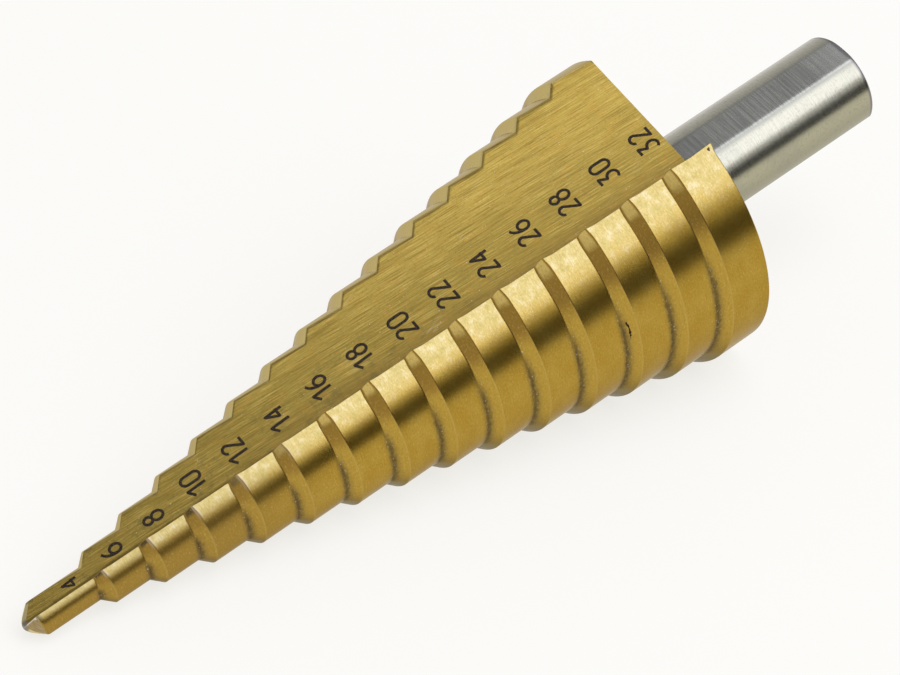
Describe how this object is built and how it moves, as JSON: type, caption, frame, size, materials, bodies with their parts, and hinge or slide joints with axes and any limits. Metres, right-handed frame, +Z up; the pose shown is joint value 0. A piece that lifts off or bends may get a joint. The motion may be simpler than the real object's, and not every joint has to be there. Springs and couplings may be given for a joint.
{
  "type": "step drill",
  "caption": "Gold-coated step drill for sheet metal, with a split point, straight flutes, stepped lands and a round shank with clamping flats.",
  "frame": {"origin": "centre of the drill's footprint on the table it lies on", "axes": "+X from the point towards the shank along the table, +Z up, with one flute facing up"},
  "size_m": [0.0988, 0.0318, 0.0271],
  "materials": {
    "coated_steel": "ground steel with a satin gold nitride coating on the head, bare ground steel on the shank"
  },
  "bodies": {
    "root": {"step_drill": "coated_steel"}
  },
  "joints": []
}
